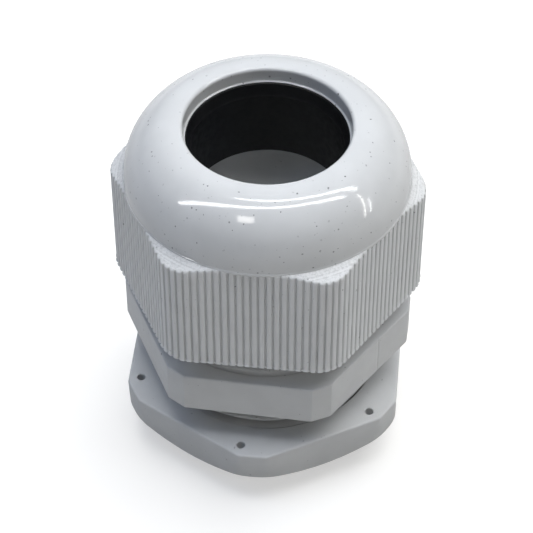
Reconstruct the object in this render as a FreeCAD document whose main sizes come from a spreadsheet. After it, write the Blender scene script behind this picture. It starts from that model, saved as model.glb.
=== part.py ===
"""A nylon cable gland with a tapered 3/4 inch pipe thread, as its four separate pieces.

The gland stands on the end of its entry thread. The origin is the centre of that end, +Z runs
along the bore towards the sealing nut, and -Y is square to one flat of the body's hexagon.
Widths build outwards: from the sleeve's bore to the claws, neck, sealing nut and hexagon, and
from the body's bore to the entry thread and lock nut. Millimetres and degrees.
"""

import FreeCAD, Part
import math
import os

import Sketcher

SIZES = {
    # body: entry thread, hexagon and neck
    "bore_radius": 9.4,
    "entry_wall": 2.68,
    "entry_length": 13.0,
    "entry_pitch": 1.814,
    "entry_depth": 1.25,
    "entry_taper_angle": 1.79,
    "hex_wall": 1.325,
    "hex_corner_share": 1.1088,
    "hex_height": 5.6,
    "edge_break": 0.3,
    "collar_height": 0.9,
    "cap_pitch": 2.0,
    "cap_depth": 1.0,
    "neck_height": 12.4,
    "neck_step": 0.5,
    # body: claws
    "claw_count": 12,
    "claw_wall": 1.8,
    "claw_height": 7.4,
    "claw_root_height": 2.2,
    "claw_slot": 1.2,
    "claw_tip_height": 1.4,
    "claw_tip_inset": 0.9,
    "pocket_depth": 2.0,
    "seat_height": 2.8,
    # rubber sleeve
    "seal_bore_radius": 8.9,
    "seal_wall": 1.8,
    "seal_length": 10.3,
    "seal_lead_in": 1.6,
    # sealing nut, outside
    "nut_gap": 3.9,
    "nut_turn": 1.85,
    "nut_wall": 1.7,
    "nut_corner_radius": 4.1,
    "rib_depth": 0.35,
    "ribs_each_side": 22,
    "shoulder_slope": 0.53,
    "shoulder_lift": 0.13,
    "dome_overhang": 0.15,
    "dome_height": 7.55,
    "dome_foot_height": 0.35,
    "crest_width": 0.8,
    "crest_round": 5.0,
    # sealing nut, inside
    "claw_room": 1.1,
    "lip_margin": 0.45,
    "lip_height": 1.85,
    "lip_land": 0.9,
    "mouth_step": 0.25,
    "rim_break": 0.3,
    "skirt_relief": 1.3,
    "thread_run_out": 0.4,
    "cap_cone_narrowing": 2.25,
    "cap_cone_height": 3.4,
    # lock nut
    "lock_nut_gap": 4.7,
    "lock_nut_turn": 2.9,
    "lock_nut_wall": 3.02,
    "lock_nut_corner_share": 1.094,
    "lock_nut_height": 5.0,
    "foot_inset": 0.1,
    "foot_slope": 0.7,
    "mark_radius": 0.5,
    "mark_depth": 0.8,
    "mark_inset": 0.1,
    "mark_turn": -5.6,
    # clearances
    "thread_clearance": 0.15,
    "seal_clearance": 0.3,
    "seal_end_clearance": 0.05,
}

HEX_SIDES = 6
HALF_SIDE_ANGLE = 180 / HEX_SIDES
HEX_COS = math.cos(math.radians(HALF_SIDE_ANGLE))
PAST_CORNERS = 1.24  # a radius clear of a hexagon's corners, as a share of its apothem
THREAD_EMBED = 0.2  # how far a thread ridge is sunk into the wall that carries it
RIDGE_CREST = 0.25  # widths of a thread ridge, as shares of its pitch
RIDGE_ROOT = 0.55
OVERRUN = 1.0  # how far a cutting tool reaches past the face it opens
START, END, CENTRE = 1, 2, 3  # the points of a sketch's line or arc

doc = FreeCAD.newDocument("cable_gland")
sheet = doc.addObject("Spreadsheet::Sheet", "sizes")


class Size:
    """A number together with the sheet expression that gives it."""

    def __init__(self, value, text):
        self.value = float(value)
        self.text = text

    def _joined(self, sign, other, value):
        return Size(value, f"({self.text} {sign} {text_of(other)})")

    def __add__(self, other):
        return self._joined("+", other, self.value + number_of(other))

    def __sub__(self, other):
        return self._joined("-", other, self.value - number_of(other))

    def __mul__(self, other):
        return self._joined("*", other, self.value * number_of(other))

    def __truediv__(self, other):
        return self._joined("/", other, self.value / number_of(other))


def number_of(size):
    return size.value if isinstance(size, Size) else float(size)


def text_of(size):
    return size.text if isinstance(size, Size) else f"{size:.12g}"


def write_sheet():
    """Fill the sheet and return its sizes by name, with the ones that several pieces share."""
    for row, (name, value) in enumerate(SIZES.items(), start=1):
        sheet.set(f"A{row}", name)
        sheet.set(f"B{row}", f"{value}")
        sheet.setAlias(f"B{row}", name)
    doc.recompute()
    s = {name: Size(value, f"{sheet.Name}.{name}") for name, value in SIZES.items()}

    # radii, outwards from the sleeve's bore
    s["seal_radius"] = s["seal_bore_radius"] + s["seal_wall"]
    s["pocket_radius"] = s["seal_radius"] + s["seal_clearance"]
    s["claw_radius"] = s["pocket_radius"] + s["claw_wall"]
    s["cap_root"] = s["claw_radius"] + s["neck_step"]
    s["cap_radius"] = s["cap_root"] + s["cap_depth"]
    s["nut_bore_radius"] = s["cap_radius"] + s["thread_clearance"]
    s["nut_apothem"] = s["nut_bore_radius"] + s["nut_wall"] + s["rib_depth"]
    s["lip_radius"] = s["seal_bore_radius"] + s["lip_margin"]
    # radii, outwards from the body's bore
    s["entry_root"] = s["bore_radius"] + s["entry_wall"]
    s["entry_radius"] = s["entry_root"] + s["entry_depth"]
    # heights, upwards from the end of the entry thread
    s["hex_top"] = s["entry_length"] + s["hex_height"]
    s["collar_top"] = s["hex_top"] + s["collar_height"]
    s["neck_top"] = s["hex_top"] + s["neck_height"]
    s["claw_top"] = s["neck_top"] + s["claw_height"]
    s["nut_floor"] = s["hex_top"] + s["nut_gap"]
    # heights, upwards from the sealing nut's bottom
    s["nut_ceiling"] = s["neck_height"] + s["claw_height"] + s["claw_room"]
    s["nut_height"] = s["nut_ceiling"] + s["lip_height"]
    s["nut_thread_top"] = s["neck_height"] + s["thread_run_out"]
    return s


def bind(obj, **sizes):
    """Tie properties of an object to sizes."""
    for prop, size in sizes.items():
        obj.setExpression(prop, text_of(size))
    return obj


def place(obj, height=0, turn=0):
    """Set an object on the gland's axis at a height, turned about that axis."""
    obj.Placement = FreeCAD.Placement(
        FreeCAD.Vector(0, 0, number_of(height)),
        FreeCAD.Rotation(FreeCAD.Vector(0, 0, 1), number_of(turn)),
    )
    if isinstance(height, Size):
        obj.setExpression("Placement.Base.z", height.text)
    if isinstance(turn, Size):
        obj.setExpression("Placement.Rotation.Angle", turn.text)
    return obj


# ---------------------------------------------------------------- turned bodies


def origin_feature(body, role):
    """One of the planes and axes that a body starts with."""
    return next(feature for feature in body.Origin.OriginFeatures if feature.Role == role)


def pin(sketch, geometry, end, radius, height):
    """Fix one end of a sketch line or arc at a radius and a height."""
    for kind, axis, size in (("DistanceX", -2, radius), ("DistanceY", -1, height)):
        if number_of(size) == 0:
            sketch.addConstraint(Sketcher.Constraint("PointOnObject", geometry, end, axis))
            continue
        index = sketch.addConstraint(
            Sketcher.Constraint(kind, -1, 1, geometry, end, number_of(size))
        )
        if isinstance(size, Size):
            sketch.setExpression(f"Constraints[{index}]", size.text)


def new_profile(name):
    """A PartDesign body with an empty sketch on its XZ plane."""
    body = doc.addObject("PartDesign::Body", name)
    sketch = body.newObject("Sketcher::SketchObject", f"{name}_profile")
    sketch.AttachmentSupport = [(origin_feature(body, "XZ_Plane"), "")]
    sketch.MapMode = "FlatFace"
    return body, sketch


def revolve(body, sketch):
    """Turn a profile fully about the body's Z axis."""
    turned = body.newObject("PartDesign::Revolution", f"{body.Name}_turned")
    turned.Profile = sketch
    turned.ReferenceAxis = (origin_feature(body, "Z_Axis"), [""])
    turned.Angle = 360
    body.Tip = turned
    return body


def flat_point(corner):
    """A (radius, height) corner as a sketch point."""
    radius, height = corner
    return FreeCAD.Vector(number_of(radius), number_of(height), 0)


def add_lines(sketch, corners):
    """Straight lines through (radius, height) corners. Returns the first and last line."""
    first = None
    for start, end in zip(corners, corners[1:]):
        line = sketch.addGeometry(Part.LineSegment(flat_point(start), flat_point(end)))
        if first is None:
            first = line
            pin(sketch, line, START, *start)
        else:
            sketch.addConstraint(Sketcher.Constraint("Coincident", line - 1, END, line, START))
        pin(sketch, line, END, *end)
    return first, line


def turned_body(name, corners):
    """A body turned from a closed profile of straight lines between (radius, height) corners."""
    body, sketch = new_profile(name)
    first, last = add_lines(sketch, corners)
    closing = sketch.addGeometry(
        Part.LineSegment(flat_point(corners[-1]), flat_point(corners[0]))
    )
    sketch.addConstraint(Sketcher.Constraint("Coincident", last, END, closing, START))
    sketch.addConstraint(Sketcher.Constraint("Coincident", closing, END, first, START))
    return revolve(body, sketch)


# ------------------------------------------------------------------- other tools


def hex_prism(name, flats, height, turn=0):
    """A hexagonal prism from its width across flats, with a flat square to -Y before its turn."""
    prism = doc.addObject("Part::Prism", name)
    prism.Polygon = HEX_SIDES
    bind(prism, Circumradius=flats / 2 / HEX_COS, Height=height)
    return place(prism, turn=turn)


def joined(kind, name, *parts):
    """A Part boolean of two or more objects."""
    result = doc.addObject(kind, name)
    if kind in ("Part::MultiFuse", "Part::MultiCommon"):
        result.Shapes = list(parts)
    else:
        result.Base, result.Tool = parts
    return result


def thread_ridge(name, radius, depth, pitch, turns, outward, taper_angle=0):
    """The ridge of a right-hand thread that starts at +X, on a wall of that radius."""
    crest, root = RIDGE_CREST * pitch, RIDGE_ROOT * pitch
    side = 1 if outward else -1
    slope = (root - crest) / 2 / depth
    wide = root / 2 + slope * THREAD_EMBED
    corners = [
        (radius - side * THREAD_EMBED, -wide),
        (radius + side * depth, -crest / 2),
        (radius + side * depth, crest / 2),
        (radius - side * THREAD_EMBED, wide),
    ]
    profile = Part.makePolygon([FreeCAD.Vector(x, 0, z) for x, z in corners + corners[:1]])
    helix = Part.makeHelix(pitch, pitch * turns, radius, taper_angle)
    ridge = doc.addObject("Part::Feature", name)
    ridge.Shape = Part.Wire(helix.Edges).makePipeShell([profile], True, True)
    return ridge


def whole_quarters(turns):
    """The turns that fit, in quarters of a turn."""
    return math.floor(turns * 4) / 4


# ------------------------------------------------------------------- the pieces


def make_gland_body(s):
    """The body: entry thread, hexagon, neck with the cap thread, and the ring of claws."""
    entry_pitch, entry_length = SIZES["entry_pitch"], SIZES["entry_length"]
    taper = math.tan(math.radians(SIZES["entry_taper_angle"]))
    entry_tip = s["entry_root"] - s["entry_length"] * taper
    pocket_floor = s["neck_top"] - s["pocket_depth"]

    core = turned_body(
        "body_core",
        [
            (0, 0),
            (entry_tip - s["edge_break"], 0),
            (entry_tip, s["edge_break"]),
            (s["entry_root"], s["entry_length"]),
            (s["cap_radius"], s["entry_length"]),
            (s["cap_radius"], s["collar_top"]),
            (s["cap_root"], s["collar_top"] + s["edge_break"]),
            (s["cap_root"], s["neck_top"] - s["edge_break"]),
            (s["claw_radius"], s["neck_top"]),
            (s["claw_radius"], s["claw_top"] - s["claw_tip_height"]),
            (s["claw_radius"] - s["claw_tip_inset"], s["claw_top"]),
            (0, s["claw_top"]),
        ],
    )
    width = (s["cap_radius"] + s["hex_wall"]) * 2
    flats = hex_prism("body_hex_flats", width, s["hex_height"])
    corners = hex_prism(
        "body_hex_corners", width * s["hex_corner_share"], s["hex_height"], HALF_SIDE_ANGLE
    )
    hexagon = place(joined("Part::Common", "body_hex", flats, corners), s["entry_length"])

    entry_ridge = thread_ridge(
        "entry_ridge",
        entry_tip.value + entry_pitch / 2 * taper,
        SIZES["entry_depth"],
        entry_pitch,
        whole_quarters((entry_length - entry_pitch) / entry_pitch),
        outward=True,
        taper_angle=SIZES["entry_taper_angle"],
    )
    place(entry_ridge, entry_pitch / 2)
    cap_start = cap_thread_start(s)
    cap_room = s["neck_top"].value - SIZES["cap_pitch"] / 2 - cap_start.value
    cap_ridge = thread_ridge(
        "cap_ridge",
        s["cap_root"].value,
        SIZES["cap_depth"],
        SIZES["cap_pitch"],
        whole_quarters(cap_room / SIZES["cap_pitch"]),
        outward=True,
    )
    place(cap_ridge, cap_start)

    bore = turned_body(
        "body_bore",
        [
            (0, -OVERRUN),
            (s["bore_radius"], -OVERRUN),
            (s["bore_radius"], pocket_floor - s["seat_height"]),
            (s["pocket_radius"], pocket_floor),
            (s["pocket_radius"], s["claw_top"] + OVERRUN),
            (0, s["claw_top"] + OVERRUN),
        ],
    )
    solid = joined("Part::MultiFuse", "body_solid", core, hexagon, entry_ridge, cap_ridge)
    bored = joined("Part::Cut", "body_bored", solid, bore)
    body = joined("Part::Cut", "gland_body", bored, claw_slots(s))
    body.Label = "gland_body"
    return body


def cap_thread_start(s):
    """The height at which the body's cap thread starts."""
    return s["collar_top"] + s["cap_pitch"] / 2


def claw_slots(s):
    """Bars laid across the axis, each cutting two opposite slots between the claws."""
    floor = s["neck_top"] + s["claw_root_height"]
    length = s["claw_radius"] * 2 + 2 * OVERRUN
    half = SIZES["claw_count"] // 2
    bars = []
    for number in range(half):
        bar = doc.addObject("Part::Box", f"claw_slot_{number + 1}")
        bind(bar, Length=length, Width=s["claw_slot"], Height=s["claw_top"] - floor + OVERRUN)
        turn = FreeCAD.Rotation(FreeCAD.Vector(0, 0, 1), number * 180 / half)
        corner = FreeCAD.Vector(-length.value / 2, -SIZES["claw_slot"] / 2, 0)
        bar.Placement = FreeCAD.Placement(turn.multVec(corner), turn)
        bars.append(bar)
    return place(joined("Part::MultiFuse", "claw_slots", *bars), floor)


def make_seal_insert(s):
    """The rubber sleeve inside the claws, its top close under the nut's lip."""
    bore, outer, length = s["seal_bore_radius"], s["seal_radius"], s["seal_length"]
    sleeve = turned_body(
        "sleeve",
        [
            (bore, 0),
            (outer - s["edge_break"], 0),
            (outer, s["edge_break"]),
            (outer, length),
            (s["lip_radius"], length),
            (bore, length - s["seal_lead_in"]),
        ],
    )
    sleeve.Label = "seal_insert"
    return place(sleeve, s["nut_floor"] + s["nut_ceiling"] - s["seal_end_clearance"] - length)


def rounded_hex_point(apothem, corner_radius, side, along, inset):
    """A point of a rounded hexagon, a distance anticlockwise round its outline from +X.

    The middle of a rounded corner is on +X. The point is moved inwards by inset.
    """
    number, rest = divmod(along, side)
    offset = rest - side / 2
    half_flat = (side - corner_radius * math.radians(2 * HALF_SIDE_ANGLE)) / 2
    facing = math.radians((2 * number + 1) * HALF_SIDE_ANGLE)
    bend = math.copysign(max(abs(offset) - half_flat, 0) / corner_radius, offset)
    across = apothem - corner_radius
    aside = max(-half_flat, min(half_flat, offset))
    reach = corner_radius - inset
    return FreeCAD.Vector(
        across * math.cos(facing) - aside * math.sin(facing) + reach * math.cos(facing + bend),
        across * math.sin(facing) + aside * math.cos(facing) + reach * math.sin(facing + bend),
        0,
    )


def ribbed_prism(s):
    """The nut's hexagon with rounded corners and upright ribs all round."""
    apothem, radius = s["nut_apothem"].value, SIZES["nut_corner_radius"]
    depth, ribs = SIZES["rib_depth"], SIZES["ribs_each_side"]
    flat = 2 * (apothem - radius) * math.tan(math.radians(HALF_SIDE_ANGLE))
    side = flat + radius * math.radians(2 * HALF_SIDE_ANGLE)
    # one rib, as (share of its pitch, inset): groove floor, crest's edge, middle, edge, floor
    near, far, eased = 0.22, 0.78, depth * 0.3
    rib = ((0, depth), (near, eased), (0.5, 0), (far, eased), (1, depth))
    edges = []
    for number in range(HEX_SIDES * ribs):
        points = [
            rounded_hex_point(
                apothem, radius, side, (number + share) * side / ribs % (HEX_SIDES * side), inset
            )
            for share, inset in rib
        ]
        edges.append(Part.makeLine(points[0], points[1]))
        edges.append(Part.Arc(*points[1:4]).toShape())
        edges.append(Part.makeLine(points[3], points[4]))
    prism = doc.addObject("Part::Feature", "ribbed_prism")
    prism.Shape = Part.Face(Part.Wire(edges)).extrude(FreeCAD.Vector(0, 0, s["nut_height"].value))
    return prism


def dome(s, foot, radius):
    """The nut's dome: an upright foot, then two arcs that meet smoothly, up to a level crest."""
    crest = s["nut_height"]
    crest_radius = s["lip_radius"] + s["mouth_step"] + s["crest_width"]
    arc_start = foot + s["dome_foot_height"]
    body, sketch = new_profile("nut_dome")
    first, last = add_lines(
        sketch, [(0, crest), (0, foot), (radius, foot), (radius, arc_start)]
    )
    rise, run = (crest - arc_start).value, (radius - crest_radius).value
    small = SIZES["crest_round"]
    large = (rise**2 + run**2 - 2 * small * rise) / (2 * (run - small))
    low_centre = flat_point((radius - large, arc_start))
    high_centre = flat_point((crest_radius, crest - small))
    lean = math.atan2(high_centre.y - low_centre.y, high_centre.x - low_centre.x)
    up = FreeCAD.Vector(0, 0, 1)
    low = sketch.addGeometry(Part.ArcOfCircle(Part.Circle(low_centre, up, large), 0, lean))
    high = sketch.addGeometry(
        Part.ArcOfCircle(Part.Circle(high_centre, up, small), lean, math.pi / 2)
    )
    top = sketch.addGeometry(
        Part.LineSegment(flat_point((crest_radius, crest)), flat_point((0, crest)))
    )
    for constraint in (
        Sketcher.Constraint("Coincident", last, END, low, START),
        Sketcher.Constraint("Horizontal", low, START, low, CENTRE),
        Sketcher.Constraint("Tangent", low, END, high, START),
        Sketcher.Constraint("Vertical", high, END, high, CENTRE),
        Sketcher.Constraint("Coincident", top, START, high, END),
        Sketcher.Constraint("Coincident", top, END, first, START),
    ):
        sketch.addConstraint(constraint)
    pin(sketch, high, END, crest_radius, crest)
    index = sketch.addConstraint(Sketcher.Constraint("Radius", high, small))
    sketch.setExpression(f"Constraints[{index}]", s["crest_round"].text)
    return revolve(body, sketch)


def nut_outside(s):
    """The ribbed hexagon cut off by a sloping shoulder, with the dome standing on it."""
    foot = s["nut_height"] - s["dome_height"]
    shoulder = foot + s["shoulder_lift"]
    radius = s["nut_apothem"] + s["dome_overhang"]
    wide = s["nut_apothem"] * PAST_CORNERS
    narrow = s["lip_radius"]
    skirt = turned_body(
        "nut_skirt",
        [
            (0, 0),
            (wide, 0),
            (wide, shoulder - (wide - radius) * s["shoulder_slope"]),
            (narrow, shoulder + (radius - narrow) * s["shoulder_slope"]),
            (0, shoulder + (radius - narrow) * s["shoulder_slope"]),
        ],
    )
    ribbed = joined("Part::Common", "nut_ribbed", ribbed_prism(s), skirt)
    return joined("Part::Fuse", "nut_outer", ribbed, dome(s, foot, radius))


def nut_inside(s):
    """The space inside the sealing nut: relief, thread wall, claw chamber, cone and mouth."""
    crest, ceiling, wall = s["nut_height"], s["nut_ceiling"], s["nut_bore_radius"]
    skirt = wall + s["thread_clearance"]
    chamber = s["cap_root"] + s["thread_clearance"]
    mouth = s["lip_radius"] + s["mouth_step"]
    return turned_body(
        "nut_inside",
        [
            (0, -OVERRUN),
            (skirt, -OVERRUN),
            (skirt, s["skirt_relief"]),
            (wall, s["skirt_relief"] + s["thread_clearance"]),
            (wall, s["nut_thread_top"]),
            (chamber, s["nut_thread_top"] + s["cap_depth"]),
            (chamber, ceiling - s["cap_cone_height"]),
            (chamber - s["cap_cone_narrowing"], ceiling),
            (s["lip_radius"], ceiling),
            (s["lip_radius"], ceiling + s["lip_land"]),
            (mouth, crest - s["rim_break"]),
            (mouth + s["rim_break"], crest),
            (mouth + s["rim_break"], crest + OVERRUN),
            (0, crest + OVERRUN),
        ],
    )


def make_sealing_nut(s):
    """The domed sealing nut: ribbed hexagon, dome, lip, inside cone and thread."""
    shell = joined("Part::Cut", "nut_shell", nut_outside(s), nut_inside(s))

    # the nut's ridge runs midway between the turns of the body's
    pitch = SIZES["cap_pitch"]
    start = SIZES["skirt_relief"] + pitch / 2
    offset = s["nut_floor"].value + start - cap_thread_start(s).value - pitch / 2
    ridge = thread_ridge(
        "nut_ridge",
        s["nut_bore_radius"].value,
        SIZES["cap_depth"],
        pitch,
        whole_quarters((s["nut_thread_top"].value - start - pitch / 2) / pitch),
        outward=False,
    )
    place(ridge, start, 360 * offset / pitch - SIZES["nut_turn"])
    nut = joined("Part::Fuse", "sealing_nut", shell, ridge)
    nut.Label = "sealing_nut"
    return place(nut, s["nut_floor"], s["nut_turn"])


def corner_marks(s, apothem):
    """Short blind holes in the lock nut's upper face, one near each corner."""
    marks = []
    for number in range(HEX_SIDES):
        mark = doc.addObject("Part::Cylinder", f"lock_nut_mark_{number + 1}")
        bind(mark, Radius=s["mark_radius"], Height=s["mark_depth"] + OVERRUN)
        angle = math.radians((2 * number + 1) * HALF_SIDE_ANGLE + SIZES["mark_turn"])
        reach = (apothem - s["mark_inset"]).value
        mark.Placement.Base = FreeCAD.Vector(reach * math.cos(angle), reach * math.sin(angle), 0)
        marks.append(mark)
    drills = joined("Part::MultiFuse", "lock_nut_marks", *marks)
    return place(drills, s["lock_nut_height"] - s["mark_depth"])


def make_lock_nut(s):
    """The lock nut: a hexagon with cut corners, a turned foot, and blind marks at its corners."""
    height = s["lock_nut_height"]
    hole = s["entry_radius"] + s["thread_clearance"]
    apothem = hole + s["lock_nut_wall"]
    # its own flats stand half a side round from the body's
    flats = hex_prism("lock_nut_flats", apothem * 2, height, HALF_SIDE_ANGLE)
    corners = hex_prism(
        "lock_nut_corners", apothem * 2 * s["lock_nut_corner_share"], height
    )
    foot, wide = apothem - s["foot_inset"], apothem * PAST_CORNERS
    ring = turned_body(
        "lock_nut_ring",
        [
            (hole + s["edge_break"], 0),
            (foot, 0),
            (wide, (wide - foot) * s["foot_slope"]),
            (wide, height),
            (hole + s["edge_break"], height),
            (hole, height - s["edge_break"]),
            (hole, s["edge_break"]),
        ],
    )
    blank = joined("Part::MultiCommon", "lock_nut_blank", flats, corners, ring)
    nut = joined("Part::Cut", "lock_nut", blank, corner_marks(s, apothem))
    nut.Label = "lock_nut"
    return place(nut, s["entry_length"] - s["lock_nut_gap"] - height, s["lock_nut_turn"])


def check_document(pieces):
    """Stop before anything is written if an object failed, or a piece isn't one valid solid."""
    for obj in doc.Objects:
        if "Invalid" in obj.State or "Error" in obj.State:
            raise RuntimeError(f"{obj.Label} is {obj.State}")
    for piece in pieces:
        shape = piece.Shape
        if shape.isNull() or not shape.isValid() or len(shape.Solids) != 1:
            raise RuntimeError(f"{piece.Label} is not one valid solid")


def main():
    sizes = write_sheet()
    pieces = [
        make_gland_body(sizes),
        make_seal_insert(sizes),
        make_sealing_nut(sizes),
        make_lock_nut(sizes),
    ]
    doc.recompute()
    check_document(pieces)
    os.makedirs("parts", exist_ok=True)
    for piece in pieces:
        piece.Shape.exportStep(f"parts/{piece.Label}.step")
        box = piece.Shape.BoundBox
        print(f"{piece.Label}: {piece.Shape.Volume:.1f} mm3, z {box.ZMin:.2f} to {box.ZMax:.2f}")


main()
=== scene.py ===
"""The cable gland's visual model: moulded light grey nylon and a black rubber sleeve.

Lengths in the functions below are millimetres and are scaled as each mesh is made. The heights
of a nut's own rows start at its bottom face.
"""

import math

import bpy
from mathutils import Matrix, Vector


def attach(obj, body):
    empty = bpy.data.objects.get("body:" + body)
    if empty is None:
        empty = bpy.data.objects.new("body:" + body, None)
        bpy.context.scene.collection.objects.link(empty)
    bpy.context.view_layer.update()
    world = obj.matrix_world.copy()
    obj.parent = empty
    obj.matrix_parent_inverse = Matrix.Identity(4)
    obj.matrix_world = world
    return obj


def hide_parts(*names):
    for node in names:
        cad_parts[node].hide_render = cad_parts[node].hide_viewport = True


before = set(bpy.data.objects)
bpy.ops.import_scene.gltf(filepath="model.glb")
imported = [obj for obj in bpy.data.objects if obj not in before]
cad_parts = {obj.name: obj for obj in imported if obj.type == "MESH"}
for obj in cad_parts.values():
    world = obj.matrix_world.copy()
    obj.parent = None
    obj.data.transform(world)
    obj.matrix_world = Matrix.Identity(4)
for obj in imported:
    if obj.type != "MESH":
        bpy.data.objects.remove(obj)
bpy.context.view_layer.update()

MM = 0.001
TAU = 2 * math.pi
MIDDLE = Vector((0.0, 0.0, 0.038))  # what the lights face, in metres

# ------------------------------------------------- sizes, as in the CAD model unless noted
BORE = 9.4
ENTRY_ROOT, ENTRY_DEPTH, ENTRY_PITCH, ENTRY_LENGTH = 12.08, 1.25, 1.814, 13.0
ENTRY_TAPER = math.tan(math.radians(1.79))
HEX_APOTHEM, HEX_CORNER_APOTHEM, HEX_HEIGHT = 15.625, 17.325, 5.6
COLLAR_HEIGHT, CAP_ROOT, CAP_DEPTH, CAP_PITCH = 0.9, 13.3, 1.0, 2.0
NECK_HEIGHT, CLAW_HEIGHT, CLAW_ROOT_HEIGHT = 12.4, 7.4, 2.2
CLAW_RADIUS, POCKET_RADIUS, CLAW_SLOT, CLAWS = 12.8, 11.0, 1.2, 12
SEAL_BORE, SEAL_RADIUS, SEAL_LENGTH, SEAL_FLOOR = 8.9, 10.7, 10.3, 33.05
NUT_FLOOR, NUT_TURN, NUT_APOTHEM, NUT_CORNER = 22.5, 1.85, 16.5, 4.1
NUT_HEIGHT, NUT_CEILING, NUT_THREAD_TOP, NUT_BORE = 22.75, 20.9, 12.8, 14.45
RIBS_EACH_SIDE, RIB_DEPTH = 22, 0.35
DOME_RADIUS, DOME_FOOT, SHOULDER, SHOULDER_SLOPE = 16.65, 15.2, 15.33, 0.53
LIP_RADIUS, MOUTH_RADIUS = 9.35, 9.6
LOCK_FLOOR, LOCK_HEIGHT, LOCK_TURN, LOCK_HOLE = 3.3, 5.0, 2.9, 13.48
LOCK_APOTHEM, LOCK_CORNER_APOTHEM, LOCK_FOOT, LOCK_SLOPE = 16.5, 18.05, 16.4, 0.7
# the marks are deeper than the CAD model's 0.8, which makes them look darker
MARK_CIRCLE, MARK_RADIUS, MARK_DEPTH, MARK_TURN = 16.4, 0.5, 2.0, -5.6
PARTING_FLAT, PARTING_ASIDE = 330, 1.6  # the flat's facing in degrees, and the line's place on it
FLOOR_GAP = 0.02


# materials: the dark specks in the nylon, and the depth of every bump, in metres
SPECK_RADIUS, SPECK_COLOR = 0.0001, (0.09, 0.095, 0.1, 1.0)
BUMP_DISTANCE = 0.00003


# ------------------------------------------------------------------------------ mesh building


def loft(name, rows, floor=0.0, turn=0.0):
    """A closed mesh through closed rows of points, the last row joined to the first.

    A row may have a whole number of times the points of its neighbour.
    """
    verts, faces, starts = [], [], []
    spin = Matrix.Rotation(math.radians(turn), 3, "Z")
    for row in rows:
        starts.append(len(verts))
        verts.extend(spin @ Vector((x, y, z + floor)) * MM for x, y, z in row)
    for number, low in enumerate(rows):
        high = rows[(number + 1) % len(rows)]
        a, b = starts[number], starts[(number + 1) % len(rows)]
        count = min(len(low), len(high))
        down, up = len(low) // count, len(high) // count
        for i in range(count):
            under = [a + (i * down + k) % len(low) for k in range(down + 1)]
            over = [b + (i * up + k) % len(high) for k in range(up + 1)]
            faces.append(under + over[::-1])
    mesh = bpy.data.meshes.new(name)
    mesh.from_pydata(verts, [], faces)
    mesh.validate()
    return add_piece(name, mesh)


def add_piece(name, mesh):
    piece = bpy.data.objects.new(name, mesh)
    bpy.context.scene.collection.objects.link(piece)
    return piece


def smooth(piece, angle=32):
    """Shade smooth, apart from edges sharper than the angle."""
    mesh = piece.data
    mesh.polygons.foreach_set("use_smooth", [True] * len(mesh.polygons))
    mesh.set_sharp_from_angle(angle=math.radians(angle))
    return piece


def circle(radius, height, angles):
    return [(radius * math.cos(a), radius * math.sin(a), height) for a in angles]


def even_angles(count):
    return [TAU * i / count for i in range(count)]


def outline(edges, rounding, arc_steps, edge_steps):
    """A convex outline from (facing angle, apothem) edges, as (x, y, normal x, normal y)."""
    found = []
    count = len(edges)

    def corner(one, two):
        """Where two edges meet, both moved in by the rounding."""
        (a, p), (b, q) = one, two
        p, q = p - rounding, q - rounding
        cross = math.sin(b - a)
        return (
            (p * math.sin(b) - q * math.sin(a)) / cross,
            (q * math.cos(a) - p * math.cos(b)) / cross,
        )

    for i in range(count):
        before, edge, after = edges[i - 1], edges[i], edges[(i + 1) % count]
        start, end = corner(before, edge), corner(edge, after)
        steps = edge_steps[i % len(edge_steps)]
        nx, ny = math.cos(edge[0]), math.sin(edge[0])
        for k in range(steps):
            share = k / steps
            x = start[0] + (end[0] - start[0]) * share + nx * rounding
            y = start[1] + (end[1] - start[1]) * share + ny * rounding
            found.append((x, y, nx, ny))
        gap = (after[0] - edge[0]) % TAU
        for k in range(arc_steps):
            angle = edge[0] + gap * k / arc_steps
            nx2, ny2 = math.cos(angle), math.sin(angle)
            found.append((end[0] + nx2 * rounding, end[1] + ny2 * rounding, nx2, ny2))
    return found


def inset(shape, depth, height):
    """The outline's points moved in by a depth, at a height."""
    return [(x - nx * depth, y - ny * depth, height) for x, y, nx, ny in shape]


def ridge(angle, height, start, pitch, turns, depth):
    """How far a thread's ridge stands out at an angle and a height. It starts at angle 0."""
    along = (height - start) / pitch
    turn = round(along - angle / TAU) + angle / TAU
    off = abs(along - turn)
    crest, root = 0.10, 0.29
    rise = min(1, max(0, (root - off) / (root - crest)))
    fade = min(1, max(0, turn * 6), max(0, (turns - turn) * 6))
    return depth * fade * rise * rise * (3 - 2 * rise)


def threaded(angles, low, high, step, radius_at, start, pitch, turns, depth):
    """Rows of a threaded wall between two heights. A negative depth points inwards."""
    count = max(2, round((high - low) / step))
    rows = []
    for k in range(count + 1):
        z = low + (high - low) * k / count
        rows.append(
            [
                (r * math.cos(a), r * math.sin(a), z)
                for a in angles
                for r in [radius_at(z) + ridge(a % TAU, z, start, pitch, turns, depth)]
            ]
        )
    return rows


def arc_points(centre_r, centre_z, radius, start, end, steps):
    """(radius, height) points along an arc, angles in degrees."""
    return [
        (
            centre_r + radius * math.cos(math.radians(start + (end - start) * k / steps)),
            centre_z + radius * math.sin(math.radians(start + (end - start) * k / steps)),
        )
        for k in range(steps + 1)
    ]


# -------------------------------------------------------------------------------- sealing nut


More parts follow.
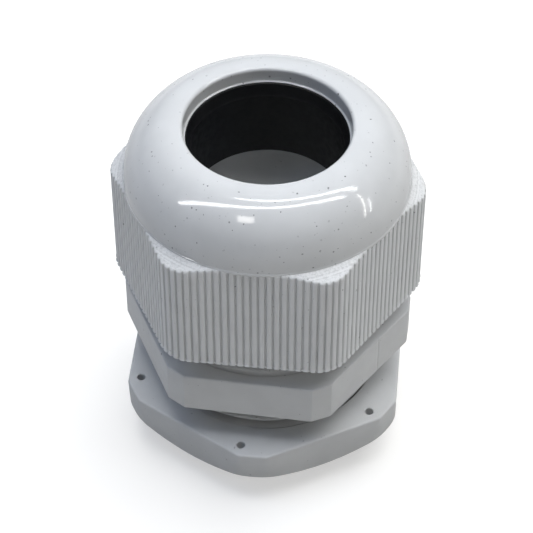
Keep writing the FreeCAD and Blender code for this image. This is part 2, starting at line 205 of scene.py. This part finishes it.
def ribbed_outline(apothem, samples):
    """The nut's rounded hexagon, as (x, y, normal x, normal y, share of the rib's depth).

    It starts at the middle of a corner. samples are (share of a rib's pitch, share of depth).
    """
    half_flat = (apothem - NUT_CORNER) * math.tan(math.radians(30))
    side = 2 * half_flat + NUT_CORNER * math.radians(60)
    across = apothem - NUT_CORNER
    found = []
    for number in range(6 * RIBS_EACH_SIDE):
        for share, depth in samples:
            along = (number + share) * side / RIBS_EACH_SIDE
            which, rest = divmod(along, side)
            offset = rest - side / 2
            facing = math.radians((2 * which + 1) * 30)
            bend = math.copysign(max(abs(offset) - half_flat, 0) / NUT_CORNER, offset)
            aside = max(-half_flat, min(half_flat, offset))
            nx, ny = math.cos(facing + bend), math.sin(facing + bend)
            x = across * math.cos(facing) - aside * math.sin(facing) + NUT_CORNER * nx
            y = across * math.sin(facing) + aside * math.cos(facing) + NUT_CORNER * ny
            found.append((x, y, nx, ny, depth))
    return found


def make_nut_skirt():
    """The nut's ribbed hexagon, up to the sloping shoulder, with the thread inside it."""
    samples = [
        (0.0, 1.0), (0.08, 0.96), (0.135, 0.66), (0.17, 0.3), (0.21, 0.1), (0.32, 0.02),
        (0.5, 0.0), (0.68, 0.02), (0.79, 0.1), (0.83, 0.3), (0.865, 0.66), (0.92, 0.96),
    ]
    burr = 0.08
    shape = ribbed_outline(NUT_APOTHEM - burr, samples)
    fine = [math.atan2(p[1], p[0]) for p in shape]
    coarse = fine[::4]

    def side_row(height, extra=0.0, share=1.0):
        return [
            (
                x - nx * (extra + RIB_DEPTH * share * depth),
                y - ny * (extra + RIB_DEPTH * share * depth),
                height,
            )
            for x, y, nx, ny, depth in shape
        ]

    def shoulder_row(extra, share, drop=0.0):
        """Points on the sloping shoulder, moved in by a depth."""
        row = []
        for x, y, _ in side_row(0, extra, share):
            r = math.hypot(x, y)
            row.append((x, y, SHOULDER - (r - DOME_RADIUS) * SHOULDER_SLOPE - drop))
        return row

    foot_height = 0.3
    rows = [
        side_row(0.0, 0.05, 0.5),
        side_row(0.03, 0.01 - burr, 0.45),
        side_row(0.1, -burr, 0.45),
        side_row(0.16, -0.6 * burr, 0.6),
        side_row(0.22, 0.0, 0.85),
        side_row(foot_height, 0.0, 1.0),
    ]
    tip, notch = 0.24, 0.5
    lower = shoulder_row(0.0, 1.0, tip + 0.7)
    for share in (0.33, 0.67, 1.0):
        rows.append([(x, y, foot_height + (z - foot_height) * share) for x, y, z in lower])
    for k in range(5):
        bend = math.radians(90 * k / 4)
        depth = notch - 0.3 * k / 4
        rows.append(
            shoulder_row(tip * 0.8 * (1 - math.cos(bend)), depth, tip * (1 - math.sin(bend)))
        )
    rows.append(shoulder_row(0.3, 0.12))
    rows.append(shoulder_row(0.45, 0.0))
    rows.append(shoulder_row(0.8, 0.0))
    # the shoulder runs on under the dome's foot
    under_edge = 16.4
    under = []
    for x, y, _ in rows[-1]:
        r = math.hypot(x, y)
        r_in = min(under_edge, r - 0.05)
        lift = SHOULDER - (r_in - DOME_RADIUS) * SHOULDER_SLOPE
        under.append((x / r * r_in, y / r * r_in, min(lift, DOME_FOOT + 0.25)))
    rows.append(under)
    hidden = 15.5
    rows.append(circle(hidden, DOME_FOOT, fine))
    rows.append(circle(hidden, NUT_THREAD_TOP, coarse))
    rows.append(circle(NUT_BORE, NUT_THREAD_TOP, coarse))
    # the nut's ridge runs midway between the turns of the body's
    pitch = CAP_PITCH
    plain = 1.3
    start = plain + pitch / 2
    body_start = ENTRY_LENGTH + HEX_HEIGHT + COLLAR_HEIGHT + pitch / 2
    lead = 360 * (NUT_FLOOR + start - body_start - pitch / 2) / pitch - NUT_TURN
    turned = [a - math.radians(lead) for a in coarse]
    turns = math.floor((NUT_THREAD_TOP - start - pitch / 2) / pitch * 4) / 4
    wall = threaded(
        turned, 1.45, NUT_THREAD_TOP - 0.15, 0.2,
        lambda z: NUT_BORE, start, pitch, turns, -CAP_DEPTH,
    )
    spin = Matrix.Rotation(math.radians(lead), 2)
    for row in reversed(wall):
        rows.append([(*(spin @ Vector((x, y))), z) for x, y, z in row])
    rows.append(circle(NUT_BORE + 0.15, plain, coarse))
    rows.append(circle(NUT_BORE + 0.15, 0.25, coarse))
    rows.append(circle(NUT_BORE + 0.35, 0.04, coarse))
    rows.append(circle(NUT_BORE + 0.6, 0.0, coarse))
    rows.append(circle(NUT_BORE + 1.0, 0.0, fine))
    return smooth(loft("nut_skirt", rows, NUT_FLOOR, NUT_TURN), 40)


def make_nut_dome():
    """The nut's polished dome, its lip, and the chamber that closes on the claws."""
    angles = even_angles(288)
    band = 0.3
    arc_start, arc_radius = DOME_FOOT + 0.42, DOME_RADIUS - 0.07
    crest_radius, small = 10.4, 5.0
    rise, run = NUT_HEIGHT - arc_start, arc_radius - crest_radius
    large = (rise**2 + run**2 - 2 * small * rise) / (2 * (run - small))
    low_r, high_z = arc_radius - large, NUT_HEIGHT - small
    lean = math.degrees(math.atan2(high_z - arc_start, crest_radius - low_r))
    rim = 0.45
    chamber, inside_skirt = 13.45, 15.7
    profile = [
        (inside_skirt, NUT_THREAD_TOP - 0.05),
        (inside_skirt, DOME_FOOT - 0.1),
        (DOME_RADIUS - 0.06, DOME_FOOT - 0.1),
        (DOME_RADIUS, DOME_FOOT - 0.04),
        (DOME_RADIUS, DOME_FOOT + band - 0.06),
        (DOME_RADIUS - 0.02, DOME_FOOT + band),
        (DOME_RADIUS - 0.06, DOME_FOOT + band + 0.03),
        *arc_points(low_r, arc_start, large, 0, lean, 22),
        *arc_points(crest_radius, high_z, small, lean, 90, 14)[1:],
        (MOUTH_RADIUS + rim + 0.15, NUT_HEIGHT),
        *arc_points(MOUTH_RADIUS + rim, NUT_HEIGHT - rim, rim, 90, 180, 8),
        (MOUTH_RADIUS - 0.02, NUT_HEIGHT - 0.8),
        (MOUTH_RADIUS - 0.06, NUT_CEILING + 0.3),
        (MOUTH_RADIUS - 0.08, NUT_CEILING + 0.2),
        (MOUTH_RADIUS - 0.13, NUT_CEILING + 0.13),
        (LIP_RADIUS + 0.03, NUT_CEILING + 0.09),
        (LIP_RADIUS, NUT_CEILING + 0.06),
        (LIP_RADIUS, NUT_CEILING),
        (chamber - 2.25, NUT_CEILING),
        (chamber, NUT_CEILING - 3.4),
        (chamber, NUT_THREAD_TOP + CAP_DEPTH),
        (NUT_BORE, NUT_THREAD_TOP),
        (NUT_BORE, NUT_THREAD_TOP - 0.05),
    ]
    rows = [circle(r, z, angles) for r, z in profile]
    return smooth(loft("nut_dome", rows, NUT_FLOOR, NUT_TURN), 34)


# ----------------------------------------------------------------------------- body and sleeve


def hex_edges(apothem, corner_apothem, first):
    """The twelve edges of a hexagon with cut corners. first is a flat's facing, in degrees."""
    return [
        (math.radians(first + 30 * i) % TAU, apothem if i % 2 == 0 else corner_apothem)
        for i in range(12)
    ]


def with_parting_line(shape, facing, aside):
    """The outline with a fine mould line across one flat, to one side of its middle."""
    nx, ny = math.cos(math.radians(facing)), math.sin(math.radians(facing))
    on_flat = [i for i, p in enumerate(shape) if p[2] * nx + p[3] * ny > 0.9999]
    along = {i: shape[i][1] * nx - shape[i][0] * ny for i in on_flat}
    after = min(i for i in on_flat if along[i] > aside + 0.1)
    line = [
        (nx * out - ny * (aside + off), ny * out + nx * (aside + off), nx, ny)
        for off, out in ((-0.1, HEX_APOTHEM), (0.0, HEX_APOTHEM - 0.07), (0.1, HEX_APOTHEM - 0.01))
    ]
    kept = [p for i, p in enumerate(shape) if i not in along or abs(along[i] - aside) > 0.12]
    place = kept.index(shape[after])
    return kept[:place] + line + kept[place:]


def make_body():
    """The body from its entry thread to the foot of its claws, bore and pocket included."""
    shape = outline(hex_edges(HEX_APOTHEM, HEX_CORNER_APOTHEM, 30), 0.3, 6, (24, 4))
    shape = with_parting_line(shape, PARTING_FLAT, PARTING_ASIDE)
    angles = [math.atan2(p[1], p[0]) for p in shape]
    tip = ENTRY_ROOT - ENTRY_LENGTH * ENTRY_TAPER
    hex_top = ENTRY_LENGTH + HEX_HEIGHT
    collar = CAP_ROOT + CAP_DEPTH
    collar_top = hex_top + COLLAR_HEIGHT
    neck_top = hex_top + NECK_HEIGHT
    claw_foot = neck_top + CLAW_ROOT_HEIGHT
    pocket_floor = neck_top - 2.0
    rows = [circle(r, z, angles) for r, z in ((BORE + 0.2, 0), (tip - 0.3, 0), (tip, 0.3))]
    turns = math.floor((ENTRY_LENGTH - ENTRY_PITCH) / ENTRY_PITCH * 4) / 4
    rows += threaded(
        angles, 0.4, ENTRY_LENGTH - 0.2, 0.18,
        lambda z: tip + z * ENTRY_TAPER, ENTRY_PITCH / 2, ENTRY_PITCH, turns, ENTRY_DEPTH,
    )
    rows.append(circle(ENTRY_ROOT + 0.1, ENTRY_LENGTH, angles))
    edge = 0.22
    for low, start, side in ((ENTRY_LENGTH, -90, 1), (hex_top, 0, -1)):
        for k in range(5):
            bend = math.radians(start + 90 * k / 4)
            height = low + side * edge + edge * math.sin(bend)
            rows.append(inset(shape, edge * (1 - math.cos(bend)), height))
    profile = [
        (collar + 0.15, hex_top),
        (collar + 0.04, hex_top + 0.04),
        (collar, hex_top + 0.15),
        (collar, collar_top - 0.15),
        (collar - 0.15, collar_top),
        (CAP_ROOT + 0.15, collar_top),
    ]
    rows += [circle(r, z, angles) for r, z in profile]
    cap_start = collar_top + CAP_PITCH / 2
    cap_turns = math.floor((neck_top - CAP_PITCH / 2 - cap_start) / CAP_PITCH * 4) / 4
    rows += threaded(
        angles, collar_top + 0.15, neck_top - 0.3, 0.2,
        lambda z: CAP_ROOT, cap_start, CAP_PITCH, cap_turns, CAP_DEPTH,
    )
    profile = [
        (CLAW_RADIUS, neck_top),
        (CLAW_RADIUS, claw_foot),
        (POCKET_RADIUS, claw_foot),
        (POCKET_RADIUS, pocket_floor),
        (BORE + 0.08, pocket_floor - 2.7),
        (BORE, pocket_floor - 2.9),
        (BORE, 0.2),
    ]
    rows += [circle(r, z, angles) for r, z in profile]
    return smooth(loft("body_shell", rows), 40)


def make_claws():
    """The ring of claws, each a curved block standing in the body's neck."""
    foot = ENTRY_LENGTH + HEX_HEIGHT + NECK_HEIGHT + CLAW_ROOT_HEIGHT - 0.05
    top = foot + CLAW_HEIGHT - CLAW_ROOT_HEIGHT + 0.05
    section = [
        (POCKET_RADIUS, foot), (CLAW_RADIUS - 0.01, foot), (CLAW_RADIUS - 0.01, top - 1.4),
        (CLAW_RADIUS - 0.9, top - 0.08), (CLAW_RADIUS - 1.0, top), (POCKET_RADIUS + 0.15, top),
        (POCKET_RADIUS, top - 0.15),
    ]
    verts, faces = [], []
    steps = 8
    for number in range(CLAWS):
        first = len(verts)
        for k in range(steps + 1):
            for r, z in section:
                half_slot = math.asin(CLAW_SLOT / 2 / r)
                low = TAU * number / CLAWS + half_slot
                high = TAU * (number + 1) / CLAWS - half_slot
                a = low + (high - low) * k / steps
                verts.append((r * math.cos(a) * MM, r * math.sin(a) * MM, z * MM))
        n = len(section)
        for k in range(steps):
            for i in range(n):
                j = (i + 1) % n
                at = first + k * n
                faces.append((at + i, at + n + i, at + n + j, at + j))
        faces.append([first + i for i in range(n)])
        faces.append([first + steps * n + i for i in reversed(range(n))])
    mesh = bpy.data.meshes.new("body_claws")
    mesh.from_pydata(verts, [], faces)
    mesh.validate()
    return smooth(add_piece("body_claws", mesh), 30)


def make_seal():
    """The rubber sleeve, with its lead-in and a fine step below it."""
    angles = even_angles(192)
    lead, top = 1.6, SEAL_LENGTH
    profile = [
        (SEAL_BORE + 0.15, 0), (SEAL_RADIUS - 0.3, 0), (SEAL_RADIUS, 0.3),
        (SEAL_RADIUS, top - 0.1), (SEAL_RADIUS - 0.1, top), (LIP_RADIUS - 0.05, top),
        (LIP_RADIUS - 0.12, top - 0.06), (SEAL_BORE + 0.065, top - lead + 0.1),
        (SEAL_BORE + 0.035, top - lead + 0.02), (SEAL_BORE, top - lead - 0.04),
        (SEAL_BORE, top - lead - 0.3), (SEAL_BORE, 0.15),
    ]
    rows = [circle(r, z, angles) for r, z in profile]
    return smooth(loft("seal_sleeve", rows, SEAL_FLOOR), 30)


# ----------------------------------------------------------------------------------- lock nut


def make_lock_nut():
    """The lock nut: rounded edges, a turned foot, and blind marks near its corners."""
    edges = hex_edges(LOCK_APOTHEM, LOCK_CORNER_APOTHEM, 0)
    shape = outline(edges, 0.9, 6, (26, 4))
    rounder = outline(edges, 5.0, 6, (26, 4))
    angles = [math.atan2(p[1], p[0]) for p in shape]
    edge, lift_low = 0.28, 0.1

    def foot_row(out):
        """Points on the turned foot. out goes from 0, at its inner edge, to 1, at the side."""
        row = []
        for x, y, _, _ in rounder:
            r = math.hypot(x, y)
            foot = min(LOCK_FOOT, r)
            there = foot + (r - foot) * out
            height = (there - LOCK_FOOT) * LOCK_SLOPE * (r > LOCK_FOOT)
            row.append((x / r * there, y / r * there, height))
        return row

    def side_row(share, depth=0.0):
        """Points on the side, from the foot at share 0 to the top edge's rounding at 1."""
        top = LOCK_HEIGHT - edge
        row = []
        for (x, y, nx, ny), low in zip(shape, foot_row(1)):
            bottom = low[2] + lift_low
            row.append(
                (
                    low[0] + (x - low[0]) * share - nx * depth,
                    low[1] + (y - low[1]) * share - ny * depth,
                    bottom + (top - bottom) * share,
                )
            )
        return row

    rows = [
        circle(LOCK_HOLE + 0.3, 0, angles),
        circle(LOCK_FOOT - 0.25, 0, angles),
        foot_row(0),
        foot_row(0.5),
        foot_row(0.93),
        side_row(0.0, 0.02),
        side_row(0.03),
        side_row(0.5),
    ]
    for k in range(5):
        bend = math.radians(90 * k / 4)
        rows.append(
            inset(shape, edge * (1 - math.cos(bend)), LOCK_HEIGHT - edge + edge * math.sin(bend))
        )
    profile = [
        (LOCK_HOLE + 0.06, LOCK_HEIGHT), (LOCK_HOLE - 0.06, LOCK_HEIGHT - 0.12),
        (LOCK_HOLE - 0.06, 0.3),
    ]
    rows += [circle(r, z, angles) for r, z in profile]
    nut = loft("lock_nut_ring", rows, LOCK_FLOOR, LOCK_TURN)

    drills = []
    for number in range(6):
        angle = math.radians(60 * number + 30 + MARK_TURN)
        at = Vector((MARK_CIRCLE * math.cos(angle), MARK_CIRCLE * math.sin(angle), 0))
        drills.append([
            [(at.x + r * math.cos(a), at.y + r * math.sin(a), z) for a in even_angles(20)]
            for r, z in (
                (MARK_RADIUS * 0.4, LOCK_HEIGHT - MARK_DEPTH),
                (MARK_RADIUS * 0.95, LOCK_HEIGHT - MARK_DEPTH * 0.85),
                (MARK_RADIUS, LOCK_HEIGHT - 0.08),
                (MARK_RADIUS * 1.25, LOCK_HEIGHT + 0.05),
                (MARK_RADIUS * 1.25, LOCK_HEIGHT + 0.4),
            )
        ])
    drill(nut, drills)
    return smooth(nut, 34)


def drill(piece, drills):
    """Cut closed holes, each given as rows from its bottom to above the face, into a piece."""
    verts, faces = [], []
    spin = Matrix.Rotation(math.radians(LOCK_TURN), 3, "Z")
    for rows in drills:
        first, n = len(verts), len(rows[0])
        for row in rows:
            verts.extend(spin @ Vector((x, y, z + LOCK_FLOOR)) * MM for x, y, z in row)
        for k in range(len(rows) - 1):
            for i in range(n):
                j = (i + 1) % n
                at = first + k * n
                faces.append((at + i, at + j, at + n + j, at + n + i))
        faces.append([first + i for i in reversed(range(n))])
        faces.append([first + (len(rows) - 1) * n + i for i in range(n)])
    mesh = bpy.data.meshes.new("drills")
    mesh.from_pydata(verts, [], faces)
    cutter = add_piece("drills", mesh)
    cut = piece.modifiers.new("holes", "BOOLEAN")
    cut.operation, cut.object, cut.solver = "DIFFERENCE", cutter, "EXACT"
    bpy.context.view_layer.update()
    done = bpy.data.meshes.new_from_object(
        piece.evaluated_get(bpy.context.evaluated_depsgraph_get())
    )
    piece.modifiers.clear()
    old = piece.data
    piece.data = done
    bpy.data.meshes.remove(old)
    bpy.data.objects.remove(cutter)
    bpy.data.meshes.remove(mesh)


# ----------------------------------------------------------------------------------- materials


class Nodes:
    """A material's node tree, built by short calls."""

    def __init__(self, name):
        self.material = bpy.data.materials.new(name)
        self.material.use_nodes = True
        self.tree = self.material.node_tree
        self.shader = self.tree.nodes["Principled BSDF"]
        self.place = self.add("ShaderNodeTexCoord").outputs["Object"]

    def add(self, kind, inputs=(), **values):
        node = self.tree.nodes.new(kind)
        for key, value in values.items():
            setattr(node, key, value)
        for key, value in dict(inputs).items():
            if isinstance(value, bpy.types.NodeSocket):
                self.tree.links.new(value, node.inputs[key])
            else:
                node.inputs[key].default_value = value
        return node

    def math(self, operation, one, two=0.0, clamp=False):
        node = self.add("ShaderNodeMath", {0: one, 1: two}, operation=operation, use_clamp=clamp)
        return node.outputs[0]

    def noise(self, scale, detail=2.0, roughness=0.5, vector=None):
        node = self.add(
            "ShaderNodeTexNoise",
            {
                "Vector": vector or self.place, "Scale": scale, "Detail": detail,
                "Roughness": roughness,
            },
        )
        return node.outputs["Fac"]

    def span(self, value, low, high, to_low=0.0, to_high=1.0):
        """A value's range stretched onto another, and held to it."""
        node = self.add(
            "ShaderNodeMapRange",
            {0: value, 1: low, 2: high, 3: to_low, 4: to_high},
            interpolation_type="SMOOTHSTEP",
        )
        return node.outputs[0]

    def mix(self, share, one, two):
        node = self.add("ShaderNodeMix", {0: share, 6: one, 7: two}, data_type="RGBA")
        return node.outputs[2]

    def specks(self, scale, radius, keep):
        """1 inside scattered specks. keep is the share of cells that hold one."""
        wobble = self.add(
            "ShaderNodeTexNoise", {"Vector": self.place, "Scale": scale * 3.0, "Detail": 1.0}
        )
        shifted = self.add(
            "ShaderNodeVectorMath",
            {0: self.place, 1: self.add(
                "ShaderNodeVectorMath",
                {0: wobble.outputs["Color"], "Scale": 0.3 / scale},
                operation="SCALE",
            ).outputs[0]},
            operation="ADD",
        )
        cells = self.add("ShaderNodeTexVoronoi", {"Vector": shifted.outputs[0], "Scale": scale})
        pick = self.add("ShaderNodeSeparateColor", {0: cells.outputs["Color"]})
        size = self.span(pick.outputs[1], 0.2, 1.0, 0.55, 1.35)
        reach = self.math("MULTIPLY", size, radius * scale)
        near = self.math("DIVIDE", cells.outputs["Distance"], reach)
        inside = self.span(near, 0.65, 1.05, 1.0, 0.0)
        held = self.math("LESS_THAN", pick.outputs[0], keep)
        depth = self.span(pick.outputs[2], 0.3, 1.0, 0.3, 1.0)
        return self.math("MULTIPLY", self.math("MULTIPLY", inside, held), depth)


def nylon(name, color, roughness, speck_share, grain, speck_scale=900.0, turned=False):
    """Moulded nylon: faint mottling, scattered dark specks, and a grain in roughness and bump."""
    n = Nodes(name)
    light = tuple(c * 1.01 for c in color) + (1.0,)
    dark = tuple(c * 0.975 for c in color) + (1.0,)
    mottled = n.mix(n.span(n.noise(260.0, 3.0), 0.35, 0.65), dark, light)
    specks = n.specks(speck_scale, SPECK_RADIUS, 0.95)
    specked = n.mix(n.math("MULTIPLY", specks, speck_share), mottled, SPECK_COLOR)
    height = n.noise(5200.0, 3.0, 0.6)
    if turned:
        # fine turning marks round the axis on the faces that look up
        split = n.add("ShaderNodeSeparateXYZ", {0: n.place})
        flat = n.add("ShaderNodeCombineXYZ", {0: split.outputs[0], 1: split.outputs[1]})
        radius = n.add("ShaderNodeVectorMath", {0: flat.outputs[0]}, operation="LENGTH")
        rings = n.add(
            "ShaderNodeTexNoise",
            {"W": radius.outputs["Value"], "Scale": 5200.0, "Detail": 2.5},
            noise_dimensions="1D",
        )
        normal = n.add("ShaderNodeNewGeometry").outputs["Normal"]
        facing = n.add("ShaderNodeSeparateXYZ", {0: normal})
        up = n.span(facing.outputs[2], 0.6, 0.85)
        marks = n.math("MULTIPLY", rings.outputs["Fac"], up)
        height = n.math("ADD", n.math("MULTIPLY", height, 0.5), n.math("MULTIPLY", marks, 1.4))
        grains = n.math("MULTIPLY", n.noise(3200.0, 3.0, 0.7), 1.3)
        broken = n.math("ADD", n.math("MULTIPLY", rings.outputs["Fac"], 0.7), grains)
        shade = n.span(broken, 0.85, 1.25, 0.0, 0.9)
        scratch = tuple(c * 0.74 for c in color) + (1.0,)
        specked = n.mix(n.math("MULTIPLY", shade, up), specked, scratch)
    rough = n.span(n.noise(900.0, 2.0), 0.3, 0.7, roughness * 0.88, roughness * 1.12)
    bump = n.add(
        "ShaderNodeBump", {"Height": height, "Strength": grain, "Distance": BUMP_DISTANCE}
    )
    n.tree.links.new(specked, n.shader.inputs["Base Color"])
    n.tree.links.new(rough, n.shader.inputs["Roughness"])
    n.tree.links.new(bump.outputs[0], n.shader.inputs["Normal"])
    n.shader.inputs["IOR"].default_value = 1.53
    return n.material


def rubber(name):
    """Black synthetic rubber with a faint bloom."""
    n = Nodes(name)
    bloom = n.span(n.noise(420.0, 4.0), 0.4, 0.75)
    color = n.mix(bloom, (0.0045, 0.005, 0.0062, 1.0), (0.008, 0.0086, 0.0102, 1.0))
    rough = n.span(n.noise(1500.0, 2.0), 0.3, 0.7, 0.42, 0.56)
    bump = n.add(
        "ShaderNodeBump",
        {"Height": n.noise(4200.0, 3.0, 0.6), "Strength": 0.25, "Distance": BUMP_DISTANCE},
    )
    n.tree.links.new(color, n.shader.inputs["Base Color"])
    n.tree.links.new(rough, n.shader.inputs["Roughness"])
    n.tree.links.new(bump.outputs[0], n.shader.inputs["Normal"])
    n.shader.inputs["Specular IOR Level"].default_value = 0.35
    return n.material


# --------------------------------------------------------------------------------- the object

GREY = (0.63, 0.638, 0.64)
PIECES = [
    (make_body(), "gland_body", "body_nylon", ["gland_body"]),
    (make_claws(), "gland_body", "body_nylon", []),
    (make_seal(), "seal_insert", "seal_rubber", ["seal_insert"]),
    (make_nut_skirt(), "sealing_nut", "nut_nylon", ["sealing_nut"]),
    (make_nut_dome(), "sealing_nut", "nut_nylon", []),
    (make_lock_nut(), "lock_nut", "lock_nut_nylon", ["lock_nut"]),
]
SATIN = nylon("nylon_satin", tuple(c * 0.96 for c in GREY), 0.45, 0.6, 0.35)
# the ribbed skirt is one moulding with the polished dome, but its base colour is made 12% lighter:
# painted light, standing in for the light its ribs and shoulder catch
RIBBED_BRIGHTENED = nylon("nylon_ribbed", tuple(c * 1.12 for c in GREY), 0.5, 0.8, 0.3, turned=True)
POLISHED = nylon("nylon_polished", GREY, 0.1, 0.85, 0.03, speck_scale=1350.0)
FINISHES = {
    "body_shell": SATIN, "body_claws": SATIN, "lock_nut_ring": SATIN,
    "nut_skirt": RIBBED_BRIGHTENED, "nut_dome": POLISHED, "seal_sleeve": rubber("rubber_black"),
}
for piece, body, slot, nodes in PIECES:
    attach(piece, body)
    if nodes:
        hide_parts(*nodes)
    piece.data.materials.clear()
    piece.data.materials.append(FINISHES[piece.name])


# ------------------------------------------------------------------- floor, lights and camera


def make_floor():
    """A pale floor, part of the stage only."""
    mesh = bpy.data.meshes.new("floor")
    half = 3.0
    mesh.from_pydata(
        [(-half, -half, 0), (half, -half, 0), (half, half, 0), (-half, half, 0)], [], [(0, 1, 2, 3)]
    )
    floor = add_piece("floor", mesh)
    n = Nodes("floor_pale")
    n.shader.inputs["Base Color"].default_value = (0.57, 0.56, 0.54, 1.0)
    # the floor looks brighter than the light it throws back on the gland
    glow = 0.5
    seen = n.add("ShaderNodeLightPath").outputs["Is Camera Ray"]
    n.tree.links.new(n.math("MULTIPLY", seen, glow), n.shader.inputs["Emission Strength"])
    n.shader.inputs["Emission Color"].default_value = (1.0, 1.0, 1.0, 1.0)
    n.shader.inputs["Roughness"].default_value = 0.9
    n.shader.inputs["Specular IOR Level"].default_value = 0.1
    mesh.materials.append(n.material)
    # the floor is under whatever is lowest: the gland's end, or the lock nut once it is off
    floor.location.z = (LOCK_FLOOR - FLOOR_GAP) * MM
    follow = floor.constraints.new("COPY_LOCATION")
    follow.target = bpy.data.objects["lock_nut_ring"]
    follow.use_x = follow.use_y = False
    follow.use_offset = True
    limit = floor.constraints.new("LIMIT_LOCATION")
    limit.use_max_z, limit.max_z = True, -FLOOR_GAP * MM


def area_light(name, at, size, power, color=(1.0, 1.0, 1.0), along=(1.0, 0.0, 0.0)):
    """A rectangular light that faces the gland. at is in metres, size is (along, across)."""
    data = bpy.data.lights.new(name, "AREA")
    data.shape = "RECTANGLE"
    data.size, data.size_y = size
    data.energy = power
    data.color = color
    lamp = bpy.data.objects.new(name, data)
    back = (Vector(at) - MIDDLE).normalized()
    side = Vector(along)
    side = (side - back * side.dot(back)).normalized()
    turn = Matrix((side, back.cross(side), back)).transposed()
    lamp.matrix_world = Matrix.Translation(Vector(at)) @ turn.to_4x4()
    bpy.context.scene.collection.objects.link(lamp)
    return lamp


def direction(azimuth, elevation):
    """A unit vector. Azimuth 0 is towards -Y and 90 towards +X."""
    a, e = math.radians(azimuth), math.radians(elevation)
    return Vector((math.sin(a) * math.cos(e), -math.cos(a) * math.cos(e), math.sin(e)))


def tube(name, start, end, width, radiance, color=(1.0, 1.0, 1.0)):
    """A lamp tube seen only as a highlight. start and end are in metres, from MIDDLE."""
    start, end = MIDDLE + Vector(start), MIDDLE + Vector(end)
    length = (end - start).length
    power = radiance * math.pi * length * width
    lamp = area_light(name, (start + end) / 2, (length, width), power, color, end - start)
    lamp.visible_diffuse = False


def make_lights():
    main = MIDDLE + Vector((0.14, 0.24, 0.95))
    area_light("overhead", main, (1.3, 1.1), 18.3, (0.965, 0.98, 1.0)).visible_glossy = False
    cool = MIDDLE + direction(-72, 55)
    area_light("cool_fill", cool, (0.6, 0.6), 1.65, (0.5, 0.66, 1.0)).visible_glossy = False
    warm_white = (1.0, 0.97, 0.93)
    right = MIDDLE + direction(45, 38)
    area_light("right_fill", right, (0.5, 0.35), 0.75, warm_white).visible_glossy = False
    tube("tube_back", (-0.30, 0.059, 1.0), (0.986, 0.186, 1.0), 0.055, 20.0)
    tube("tube_front", (-1.40, -0.595, 1.0), (1.20, 0.046, 1.0), 0.075, 20.0)
    tube("tube_right", direction(94.1, 34.9), direction(83.4, 2.4), 0.02, 18.0, warm_white)
    tube("tube_far_right", direction(94.5, 20.7), direction(89.2, 2.7), 0.02, 18.0)
    tube("panel", direction(-21, 50), direction(-5, 52), 0.18, 9.0, warm_white)
    world = bpy.data.worlds.new("studio")
    world.use_nodes = True
    world.node_tree.nodes["Background"].inputs["Color"].default_value = (0.93, 0.96, 1.0, 1.0)
    world.node_tree.nodes["Background"].inputs["Strength"].default_value = 0.03
    bpy.context.scene.world = world


def make_camera():
    """The camera, above the front and near enough for the photograph's perspective."""
    data = bpy.data.cameras.new("camera")
    data.lens, data.sensor_width = 143.4, 36.0
    data.clip_start, data.clip_end = 0.01, 20.0
    camera = bpy.data.objects.new("camera", data)
    camera.location = Vector((26.46, -176.43, 204.74)) * MM
    forward = Vector((-0.10877, 0.70587, -0.6999))
    aside, down = 0.0023407, 0.0211605  # how far the aim is moved, for a distance of 1
    right = forward.cross(Vector((0, 0, 1))).normalized()
    upward = right.cross(forward).normalized()
    aim = forward + right * aside - upward * down
    camera.rotation_euler = aim.to_track_quat("-Z", "Y").to_euler()
    bpy.context.scene.collection.objects.link(camera)
    bpy.context.scene.camera = camera


make_floor()
make_lights()
make_camera()
bpy.context.scene.view_settings.view_transform = "Standard"
